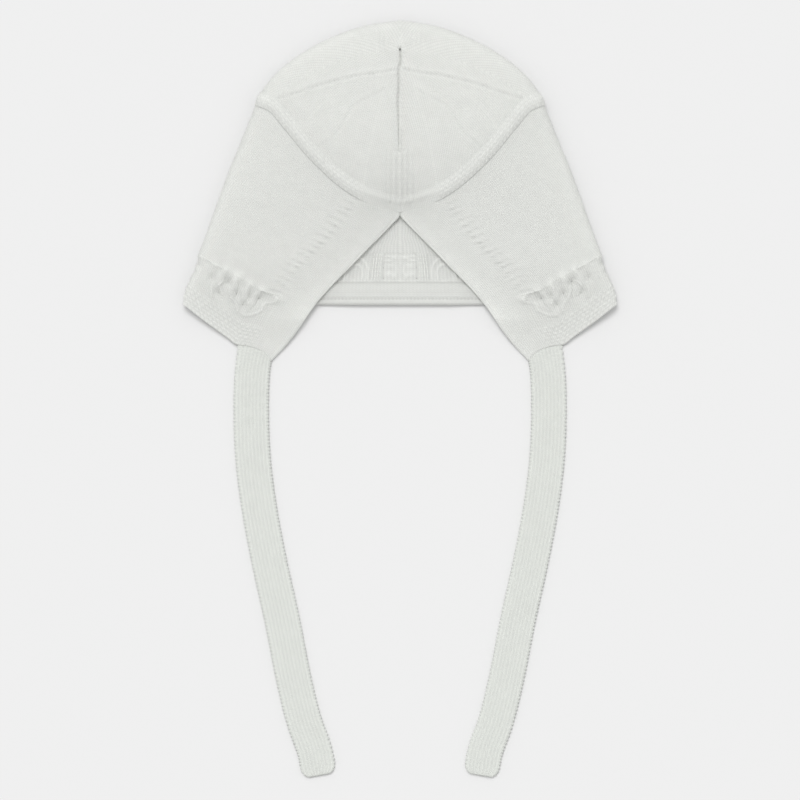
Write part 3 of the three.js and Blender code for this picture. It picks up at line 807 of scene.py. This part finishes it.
# ---- operators ----------------------------------------------------------------------------------
class BONNET_OT_stage(bpy.types.Operator):
    """Makes the camera straight above, the pale floor and the soft light from the upper left"""

    bl_idname = "bonnet.stage"
    bl_label = "Stage"

    def execute(self, context):
        scene = context.scene
        view_width, camera_height, sensor, middle_y = 0.4, 2.5, 36.0, -104.5 * MM
        camera = bpy.data.cameras.new("camera")
        camera.sensor_width = sensor
        camera.lens = sensor * camera_height / view_width
        stand = bpy.data.objects.new("camera", camera)
        stand.location = (0, middle_y, camera_height)
        scene.collection.objects.link(stand)
        scene.camera = stand

        bpy.ops.object.select_all(action="DESELECT")
        bpy.ops.mesh.primitive_plane_add(size=8, location=(0, middle_y, 0))
        floor = context.object
        floor.name = "floor"
        bpy.ops.object.transform_apply(location=True)
        material = bpy.data.materials.new("matt paper sweep")
        material.use_nodes = True
        surface = material.node_tree.nodes["Principled BSDF"]
        surface.inputs["Base Color"].default_value = linear(scene.bonnet_colours.floor)
        surface.inputs["Roughness"].default_value = 1.0
        surface.inputs["Specular IOR Level"].default_value = 0.0
        floor.data.materials.append(material)

        key = bpy.data.lights.new("key", "SUN")
        key.energy = 1.68
        key.angle = math.radians(28)
        lamp = bpy.data.objects.new("key", key)
        lamp.rotation_euler = (math.radians(-27), math.radians(-8), 0)
        scene.collection.objects.link(lamp)

        world = bpy.data.worlds.new("studio")
        scene.world = world
        world.use_nodes = True
        sky = world.node_tree.nodes["Background"]
        sky.inputs["Color"].default_value = (1, 1, 1, 1)
        sky.inputs["Strength"].default_value = 0.755
        scene.view_settings.view_transform = "Standard"
        return {"FINISHED"}


class BONNET_OT_ties(bpy.types.Operator):
    """Makes the two flat ties, with chain edges, and gathers where they are sewn on"""

    bl_idname = "bonnet.ties"
    bl_label = "Ties"

    def execute(self, context):
        sizes = context.scene.bonnet_sizes
        colours = context.scene.bonnet_colours
        material = knitted_cotton("cotton stocking stitch, ties", colours.ties, sizes, 0.6)
        route = curve_through(TIE_ROUTE, 400)
        length = lengths_along(route)[-1]
        stations = with_rim(evenly(0, length, sizes.fine_cell * 1.05), WALL / 2, True, True)
        across = with_rim(evenly(-1, 1, sizes.fine_cell * 2 / TIE_WIDTH), 0.12, True, True)
        middle = at_lengths(route, stations)
        ahead = at_lengths(route, np.minimum(stations + MM, length))
        behind = at_lengths(route, np.maximum(stations - MM, 0))
        tangent = unit(ahead - behind)
        side = np.stack([-tangent[:, 1], tangent[:, 0]], -1)
        beyond = np.clip((stations - (length - TIE_END_ROUND)) / TIE_END_ROUND, 0, 1)
        half = TIE_WIDTH / 2 * (TIE_END_SHARE + (1 - TIE_END_SHARE) * np.sqrt(1 - beyond**2))
        chain = 0.5 - 0.5 * wave(stations, TIE_CHAIN)
        edge_out = (0.8 * MM * chain - 0.3 * MM) * (1 - beyond)
        flat = middle[:, None] + side[:, None] * (half[:, None, None] * across[:, None])
        reach = np.abs(across) ** 6 * np.sign(across)
        flat = flat + side[:, None] * (edge_out[:, None] * reach)[..., None]
        face_length = lengths_along(place(FACE_LINE))
        on_flap = np.interp(np.interp(across, (-1, 1), TIE_HEAD_ENDS),
                            face_length, np.arange(len(face_length)))
        head = place(at_index(FACE_LINE, on_flap))[:, :2] + [0, TIE_HEAD_DROP]
        turn = head - flat[0]
        fade = np.maximum(0, 1 - stations / TIE_HEAD) ** 2
        flat = flat + turn * fade[:, None, None]
        for name, sign in (("tie_left", -1), ("tie_right", 1)):
            piece = self.knit(name, sign, flat, stations, across, length, sizes)
            put_in_place(piece, name, material)
        return {"FINISHED"}

    def knit(self, name, sign, flat, stations, across, length, sizes):
        mid = np.full(flat.shape[:2], WALL / 2)
        points = np.concatenate([flat * [sign, 1], mid[..., None]], -1)
        width = np.broadcast_to(across * TIE_WIDTH / 2, flat.shape[:2])
        travelled = np.broadcast_to(stations[:, None], flat.shape[:2])
        points, width, travelled = (v.swapaxes(0, 1) for v in (points, width, travelled))
        if sign > 0:
            points, width, travelled = points[::-1], width[::-1], travelled[::-1]
        grid = Grid(points, width, travelled)
        edge = TIE_WIDTH / 2 - np.abs(width)
        chain = 0.5 - 0.5 * wave(travelled, TIE_CHAIN)
        wales = wave(width, sizes.wale)
        along_edge = bell(edge - 0.8 * MM, 0.75 * MM)
        beside_edge = bell(edge - 2.2 * MM, 0.6 * MM)
        # Painted highlights on the wales and painted shade between them.
        outward = relief(0.08 * MM * wales, -0.01 * wales)
        # Painted shade in the groove beside each chain edge and between the chain's stitches.
        outward = outward + relief(0.5 * MM * chain * along_edge - 0.3 * MM * beside_edge,
                                   0.05 * beside_edge + 0.05 * (0.5 - chain) * along_edge)
        gathers = wave(width, 2.35 * MM)
        near_head = np.maximum(0, 1 - travelled / (8 * MM)) * smoothstep(MM, 3 * MM, edge)
        # Painted shade between the gathers at the head and painted highlights on them.
        outward = outward + relief(0.5 * MM * gathers, -0.12 * gathers) * near_head[..., None]
        # Painted shade along the line where the tie meets the flap.
        outward = outward + relief(0, 0.1 * bell(travelled, 0.7 * MM))
        outward = outward + soft_waves(grid.points, sizes.swell * 0.5)
        inward = relief(np.zeros(travelled.shape))
        border = np.minimum(edge, np.minimum(travelled, length - travelled + 0.1 * MM))
        return wall_piece(name, grid, outward, inward, rounded(border, WALL * 0.6))


class BONNET_OT_crown(bpy.types.Operator):
    """Makes the crown: eight wedges that meet at the eyelet, with their lines and the seam"""

    bl_idname = "bonnet.crown"
    bl_label = "Crown"

    def execute(self, context):
        sizes = context.scene.bonnet_sizes
        half = lengths_along(place(WELT_LINE))
        # Columns stand closer together towards the seam in the middle of the back.
        spread = np.linspace(0, 1, round(half[-1] / (sizes.cell * 0.98)) + 1)
        lengths = half[-1] * (spread - 0.2 * np.sin(math.pi * spread) * (1 - spread) ** 2)
        eyelet = direction_at(np.array([0, EYELET_Y]), 1)
        feet = at_index(CROWN_FOOT, np.interp(lengths, half, np.arange(len(half))))
        shares = np.linspace(0, 1, 121)[:, None]
        paths = between(feet[:, None], eyelet, shares)
        points, along = [], []
        rows = np.linspace(0, 1, 101)
        for path in paths:
            line = place(path)
            at = lengths_along(line)
            arrival = line[-8] - line[-1]
            bearing = math.atan2(arrival[0], arrival[1])
            slit = 1 / math.hypot(math.sin(bearing) / EYELET_HALF["wide"],
                                  math.cos(bearing) / EYELET_HALF["tall"])
            wanted = (at[-1] - slit) * rows
            points.append(place(at_index(path, np.interp(wanted, at, np.arange(len(at))))))
            along.append(at[-1] - wanted)
        points, along = np.array(points), np.array(along)
        across = np.broadcast_to(lengths[:, None], along.shape)
        wedge = 2 * half[-1] / WEDGES
        grid = ring_grid(points, across, along)
        grid.across = self.in_wedges(grid.across, grid.along, wedge)
        outward = self.shaping(grid.points, sizes)
        inward = relief(np.zeros(outward.shape[:2]))
        to_eyelet = grid.along[:len(points) * 2 - 2]
        rim = rounded(to_eyelet - 0.5 * MM, 1.2 * MM)
        piece = wall_piece("crown", grid, outward, inward, rim)
        material = knitted_cotton("cotton stocking stitch", context.scene.bonnet_colours.plain,
                                  sizes, 0.5)
        finish_sheet(piece, "crown", material)
        return {"FINISHED"}

    def in_wedges(self, across, along, wedge):
        """The distance across each wedge from its middle line, narrowing towards the eyelet."""
        turn = across / wedge
        return np.abs(turn - np.floor(turn) - 0.5) * wedge * np.clip(along / (70 * MM), 0, 1)

    def shaping(self, points, sizes):
        """The seam, the lines of decreases, the puff above the eyelet, and the puckers, with painted
        shade in their hollows and painted highlights on their raised parts.
        """
        flat = mirrored_plan(points)
        upper = (points[..., 2] > 5 * MM)[..., None]
        shape = soft_waves(points, sizes.swell) + back_ribs(points, sizes)
        away, travelled = near_line(points[..., :2], curve_through(SEAM, 40))
        wobble = wave(travelled, 2.3 * MM)
        groove, lips = bell(away, 0.6 * MM), bell(away - 1.6 * MM, 1.3 * MM)
        # Painted shade in the seam's groove, and painted highlights and shade along its lips as they
        # rise and fall.
        seam = relief(0.18 * MM * wobble * lips - sizes.seam_depth * groove,
                      (0.13 + 0.07 * wobble) * groove - 0.02 * wobble * lips)
        # Crossed rows of puckers on both sides of the seam, with painted highlights on them and
        # painted shade between.
        inner = bell(flat[..., 0], 12 * MM) * bell(points[..., 1] - 42 * MM, 16 * MM)
        rows = wave(points[..., 1] - 0.55 * flat[..., 0], 2.6 * MM)
        cross = wave(flat[..., 0] + 0.3 * points[..., 1], 3.4 * MM)
        seam = seam + relief(0.13 * MM * rows * cross, -0.02 * rows * cross) * inner[..., None]
        shape = shape + upper * seam
        for line, depth in DECREASES:
            away, travelled = near_line(flat, curve_through(line, 60))
            holes = (0.5 + 0.5 * wave(travelled, 2.2 * MM)) * bell(away, 0.55 * MM)
            holes = holes * (0.65 + 0.35 * np.sin(2 * math.pi * travelled / (9.7 * MM)))
            ridge = bell(away - 1.5 * MM, 0.9 * MM)
            height = depth * (0.6 * ridge - holes - 0.25 * bell(away, 1.6 * MM))
            # Painted shade in the holes and along the line of decreases, and a painted highlight on
            # the ridge beside it.
            tone = depth / MM * (0.24 * holes + 0.05 * bell(away, 1.2 * MM) - 0.05 * ridge)
            shape = shape + upper * relief(height, tone)
        from_puff = np.hypot(points[..., 0] / 1.3, points[..., 1] - 73.2 * MM)
        puff = bell(from_puff, 3.4 * MM)
        # A painted highlight on the puff.
        shape = shape + upper * relief(0.9 * MM * puff, -0.03 * puff)
        hatch = bell(flat[..., 0] - 9 * MM, 3.6 * MM) * bell(points[..., 1] - 74 * MM, 3.2 * MM)
        hatch = hatch * wave(flat[..., 0], 2.3 * MM)
        # Painted highlights and shade on the hatched ribs.
        return shape + upper * relief(0.3 * MM * hatch, -0.025 * hatch)


class BONNET_OT_crown_welt(bpy.types.Operator):
    """Makes the raised seed-stitch welt round the crown"""

    bl_idname = "bonnet.crown_welt"
    bl_label = "Crown welt"

    def execute(self, context):
        sizes = context.scene.bonnet_sizes
        half = lengths_along(place(WELT_LINE))
        lengths = evenly(0, half[-1], sizes.fine_cell)
        index = np.interp(lengths, half, np.arange(len(half)))
        low, high = at_index(WELT_OUTER, index)[:, None], at_index(WELT_INNER, index)[:, None]
        shares = with_rim(evenly(0, 1, sizes.fine_cell / WELT_WIDTH), 0.12, True, True)
        points = place(between(low, high, shares[:, None]))
        along = np.broadcast_to(shares * WELT_WIDTH, points.shape[:2])
        across = np.broadcast_to(lengths[:, None], points.shape[:2])
        grid = ring_grid(points, across, along)
        count = len(grid.points)
        across, along = grid.across[:count], grid.along[:count]
        from_middle = np.abs(along / WELT_WIDTH - 0.5) * 2
        upward = smoothstep(-0.3, 0.5, grid.normals()[..., 2])
        body = upward * np.maximum(0, 1 - from_middle**2) ** 0.8
        sides = smoothstep(14 * MM, 24 * MM, np.abs(grid.points[..., 0]))
        crest = bell(along - 5.2 * MM, 1.7 * MM)
        # Painted shade along the welt's side next to the panel, and painted highlights along its
        # crest and along the smile's crest.
        outward = relief(sizes.welt_height * body, 0.09 * bell(along, 1.5 * MM) - 0.04 * crest)
        smile = relief(0.55 * MM * crest * upward, -0.03 * crest)
        outward = outward * sides[..., None] + smile * (1 - sides)[..., None]
        bumps = pearls(across, along + 0.1 * MM, sizes.pearl_pitch, sizes.pearl_rows, 3)
        pearly = np.maximum(sides, 1 - upward)
        # Painted highlights on the pearls and painted shade between them.
        outward = outward + relief(sizes.pearl_height * bumps * pearly * (0.3 + 0.7 * upward),
                                   0.07 * (0.45 - bumps) * pearly)
        outward = outward + back_ribs(grid.points, sizes) + soft_waves(grid.points, sizes.swell)
        # Inside too, painted shade between the pearls.
        inward = relief(sizes.pearl_height * 0.4 * bumps, 0.05 * (0.45 - bumps))
        piece = wall_piece("crown_welt", grid, outward, inward, np.ones(outward.shape[:2]))
        material = knitted_cotton("cotton seed stitch, welt", context.scene.bonnet_colours.seed,
                                  sizes, 0.4)
        finish_sheet(piece, "crown_welt", material)
        return {"FINISHED"}


class BONNET_OT_side_panel(bpy.types.Operator):
    """Makes the stocking-stitch panel, with fashion marks beside the neck edges"""

    bl_idname = "bonnet.side_panel"
    bl_label = "Side panel"

    def execute(self, context):
        sizes = context.scene.bonnet_sizes
        cell = sizes.cell
        neck = with_rim(evenly(0, MARK_STATION, cell), 1.3 * MM)
        rest = evenly(MARK_STATION, STATIONS[-1], cell)
        columns = Columns(np.concatenate([neck, rest[1:]]))
        band_rows = round(LACE_WIDTH["front"] / cell)
        rows_above = round(78 * MM / cell)

        def distances(whole, from_front):
            top = lace_top(from_front)
            band = np.linspace(EDGING_WIDTH + BUTT, top, band_rows + 1)
            return np.concatenate([band, np.linspace(top, whole, rows_above + 1)[1:]])

        points, along = columns.rows(distances)
        blend = (along / along[:, -1:]).clip(0, 1)
        face_across = columns.from_front[:, None]
        welt_across = (WELT_LENGTHS[-1] - columns.on_welt_length)[:, None]
        across = face_across * (1 - blend) + welt_across * blend
        grid = strip_grid(points, across, along)
        from_front = np.concatenate([-columns.from_front, columns.from_front[-2::-1]])
        band_across = np.broadcast_to(from_front[:, None], grid.along.shape)
        keep = np.zeros((len(grid.points) - 1, grid.points.shape[1] - 1), bool)
        keep[:, band_rows:] = True
        keep[:len(neck) - 1] = keep[-len(neck) + 1:] = True
        upper = grid.points[..., 2] > 5 * MM
        near = grid.along < lace_top(np.abs(band_across)) + 6 * MM
        outward = soft_waves(grid.points, sizes.swell) + self.fashion_marks(grid.points, len(neck))
        outward = outward + near[..., None] * flap_lace(band_across, grid.along)
        ribs = wave(grid.across, sizes.wale) * ~upper
        # Painted shade over the inner face, lighter on the ribs of the front layer.
        inward = relief(0.12 * MM * ribs, 0.03 - 0.015 * ribs)
        rim = rounded(columns.from_neck(grid), 1.5 * MM)
        piece = wall_piece("side_panel", grid, outward, inward, rim, keep)
        material = knitted_cotton("cotton stocking stitch, panel",
                                  context.scene.bonnet_colours.plain, sizes, 0.5)
        finish_sheet(piece, "side_panel", material)
        return {"FINISHED"}

    def fashion_marks(self, points, neck_count):
        """Short sunk dashes along each line of decreases, a group every few courses, with painted
        shade in each dash and a painted highlight on the lip above it.
        """
        marks = 0
        line = points[len(points) - neck_count][::-1, :2]
        whole = lengths_along(line)[-1]
        chance = np.random.default_rng(5)
        for travelled in np.arange(3 * MM, whole - 14 * MM, 3.6 * MM):
            x, y = at_lengths(line, np.array([travelled + chance.uniform(-0.5, 0.5) * MM]))[0]
            for step, rise, share in ((0.6, 0, 1), (4.2, 1.5, 0.55), (-2.6, 1.7, 0.45)):
                aside = np.abs(points[..., 0]) - x - (step + chance.uniform(-0.5, 0.5)) * MM
                up = points[..., 1] - y - (rise + chance.uniform(-0.3, 0.3)) * MM - 0.15 * aside
                share = share * chance.uniform(0.6, 1.1)
                dash = share * bell(aside, chance.uniform(1.2, 2.0) * MM) * bell(up, 0.5 * MM)
                lip = share * bell(aside + 0.4 * MM, 1.7 * MM) * bell(up - 1.1 * MM, 0.6 * MM)
                # Painted shade in the dash, a painted highlight on its lip.
                marks = marks + relief(0.36 * MM * (0.7 * lip - dash), 0.12 * dash - 0.04 * lip)
        # Painted light: the knit between the marks and the neck edge is painted paler, offsetting
        # the shade on its drooping slope.
        away, _ = near_line(mirrored_plan(points), DROOP_LINE)
        marks = marks + relief(0, -0.04 * bell(away, 13 * MM))
        return marks * ((points[..., 2] > 4 * MM) & (points[..., 1] < 0))[..., None]


class BONNET_OT_lace_band(bpy.types.Operator):
    """Makes the openwork band: leaves and eyelets outside, ribs and knots inside"""

    bl_idname = "bonnet.lace_band"
    bl_label = "Lace band"

    def execute(self, context):
        sizes = context.scene.bonnet_sizes
        columns = Columns(evenly(MARK_STATION + BUTT, STATIONS[-1], sizes.fine_cell * 0.65))
        shares = evenly(0, 1, sizes.fine_cell / LACE_WIDTH["front"] * 0.95)

        def distances(_, from_front):
            low, high = EDGING_WIDTH + BUTT, lace_top(from_front) - BUTT
            return low + (high - low) * shares

        points, along = columns.rows(distances)
        across = np.broadcast_to(columns.from_front[:, None], along.shape)
        keep = np.ones((len(points) - 1, len(shares) - 1), bool)
        shift = np.zeros(points.shape[:2] + (2,))
        for at, tall, wide in lace_eyelets():
            shift += self.open_eyelet(at, tall, wide, across, along, keep)
        points = self.shifted(points, shift)
        grid = strip_grid(points, across, along)
        keep = np.concatenate([keep, keep[::-1]])
        on_front = smoothstep(FLAP_START, FLAP_START - 4 * MM, np.abs(grid.across))[..., None]
        inner = front_lace(grid.across, grid.along) * on_front
        outward = flap_lace(grid.across, grid.along) - inner * [0.3, 0]
        rim = np.full(outward.shape[:2], 0.85)
        outward = outward + soft_waves(grid.points, sizes.swell)
        piece = wall_piece("lace_band", grid, outward, inner, rim, keep)
        colours = context.scene.bonnet_colours
        material = knitted_cotton("cotton leaf lace", colours.lace, sizes, 0.55)
        finish_sheet(piece, "lace_band", material)
        return {"FINISHED"}

    def open_eyelet(self, at, tall, wide, across, along, keep):
        """Drops the cell at an eyelet's middle and spreads the knit round it into a round hole."""
        cell = np.stack([-np.gradient(across, axis=0), np.gradient(along, axis=1)], -1)
        middle = np.stack([(v[:-1, :-1] + v[1:, 1:]) / 2 for v in (across, along)], -1)
        i, j = np.unravel_index(np.argmin(np.linalg.norm(middle - at, axis=-1)), keep.shape)
        if not (1 < i < len(keep) - 1 and 1 < j < keep.shape[1] - 1):
            return 0
        keep[i, j] = False
        away = np.stack([across, along], -1) - middle[i, j]
        scaled = away / [wide, tall]
        distance = np.maximum(np.linalg.norm(scaled, axis=-1), 1e-6)
        pushed = np.sqrt(distance**2 + np.exp(-((distance / 2.0) ** 2)))
        move = away * ((pushed - distance) / distance)[..., None]
        return move / cell * [-1, 1]

    def shifted(self, points, shift):
        """The grid's points moved over the surface by shifts counted in cells."""
        columns, rows = points.shape[:2]
        i = np.clip(np.arange(columns)[:, None] + shift[..., 0], 0, columns - 1.001)
        j = np.clip(np.arange(rows) + shift[..., 1], 0, rows - 1.001)
        low_i, low_j = i.astype(int), j.astype(int)
        u, v = (i - low_i)[..., None], (j - low_j)[..., None]
        low = points[low_i, low_j] * (1 - u) + points[low_i + 1, low_j] * u
        high = points[low_i, low_j + 1] * (1 - u) + points[low_i + 1, low_j + 1] * u
        return low * (1 - v) + high * v


class BONNET_OT_face_edging(bpy.types.Operator):
    """Makes the seed-stitch edging of the face opening, with a smooth rolled hem inside"""

    bl_idname = "bonnet.face_edging"
    bl_label = "Face edging"

    def execute(self, context):
        sizes = context.scene.bonnet_sizes
        columns = Columns(with_rim(evenly(0, STATIONS[-1], sizes.fine_cell), 1.3 * MM))
        wanted = with_rim(evenly(0, EDGING_WIDTH, sizes.fine_cell), 1.1 * MM)
        points, along = columns.rows(lambda *_: wanted)
        across = np.broadcast_to(columns.from_front[:, None], along.shape)
        grid = strip_grid(points, across, along)
        far = np.abs(grid.across)
        bumps = pearls(grid.across, grid.along, sizes.pearl_pitch, sizes.pearl_rows, 7)
        seeded = smoothstep(FACE_HALF - 9 * MM, FACE_HALF - 16 * MM, far)
        # Painted highlights on the pearls and painted shade between them.
        outward = relief(sizes.pearl_height * (bumps - 0.25) * seeded,
                         0.07 * (0.45 - bumps) * seeded)
        outward = outward + soft_waves(grid.points, sizes.swell)
        inward = self.hem(grid, sizes)
        rim = np.minimum(rounded(columns.from_neck(grid), 1.5 * MM),
                         rounded(grid.along, 1.2 * MM))
        piece = wall_piece("face_edging", grid, outward, inward, rim)
        material = knitted_cotton("cotton seed stitch, edging", context.scene.bonnet_colours.seed,
                                  sizes, 0.4, purl_bumps=0.06)
        finish_sheet(piece, "face_edging", material)
        return {"FINISHED"}

    def hem(self, grid, sizes):
        """Inside, a rolled band, a row of small pits and a bound edge, with painted shade over the
        hem that is deeper towards the face edge, in the groove and in the pits.
        """
        up = grid.along / MM
        roll = 0.55 * MM * bell(up - 7.3, 2.6)
        courses = 0.07 * MM * wave(up, sizes.course / MM) * bell(up - 8, 2.5)
        pits = (0.5 + 0.5 * wave(grid.across, sizes.wale)) * bell(up - 2.9, 0.6)
        edge = 0.35 * MM * bell(up - 1.2, 1.0) + 0.2 * MM * bell(up - 4.2, 0.7)
        groove = 0.45 * MM * bell(up - 11.2, 0.8)
        front = smoothstep(112 * MM, 106 * MM, np.abs(grid.across))
        # Painted shade over the hem, deeper towards the face edge, in the groove and in the pits.
        tone = 0.05 + 0.07 * bell(up, 1.8) + 0.09 * bell(up - 11.2, 0.9) + 0.12 * pits
        return relief(front * (roll + courses + edge - groove - 0.5 * MM * pits), front * tone)


class BONNET_PT_panel(bpy.types.Panel):
    """Lists the bonnet's sizes and its operators"""

    bl_label = "Knitted baby bonnet"
    bl_idname = "BONNET_PT_panel"
    bl_space_type = "VIEW_3D"
    bl_region_type = "UI"
    bl_category = "Bonnet"

    def draw(self, context):
        for group in (context.scene.bonnet_sizes, context.scene.bonnet_colours):
            for name in group.bl_rna.properties.keys():
                if name not in ("rna_type", "name"):
                    self.layout.prop(group, name)
        for operator in OPERATORS:
            self.layout.operator(operator.bl_idname)


OPERATORS = (BONNET_OT_stage, BONNET_OT_ties, BONNET_OT_crown, BONNET_OT_crown_welt,
             BONNET_OT_side_panel, BONNET_OT_lace_band, BONNET_OT_face_edging)
CLASSES = (BonnetSizes, BonnetColours, *OPERATORS, BONNET_PT_panel)


def register():
    for item in CLASSES:
        bpy.utils.register_class(item)
    bpy.types.Scene.bonnet_sizes = bpy.props.PointerProperty(type=BonnetSizes)
    bpy.types.Scene.bonnet_colours = bpy.props.PointerProperty(type=BonnetColours)


def unregister():
    del bpy.types.Scene.bonnet_sizes
    del bpy.types.Scene.bonnet_colours
    for item in reversed(CLASSES):
        bpy.utils.unregister_class(item)


def main():
    register()
    bpy.ops.bonnet.stage()
    bpy.ops.bonnet.ties()
    bpy.ops.bonnet.crown()
    bpy.ops.bonnet.crown_welt()
    bpy.ops.bonnet.side_panel()
    bpy.ops.bonnet.lace_band()
    bpy.ops.bonnet.face_edging()


if __name__ == "__main__":
    main()
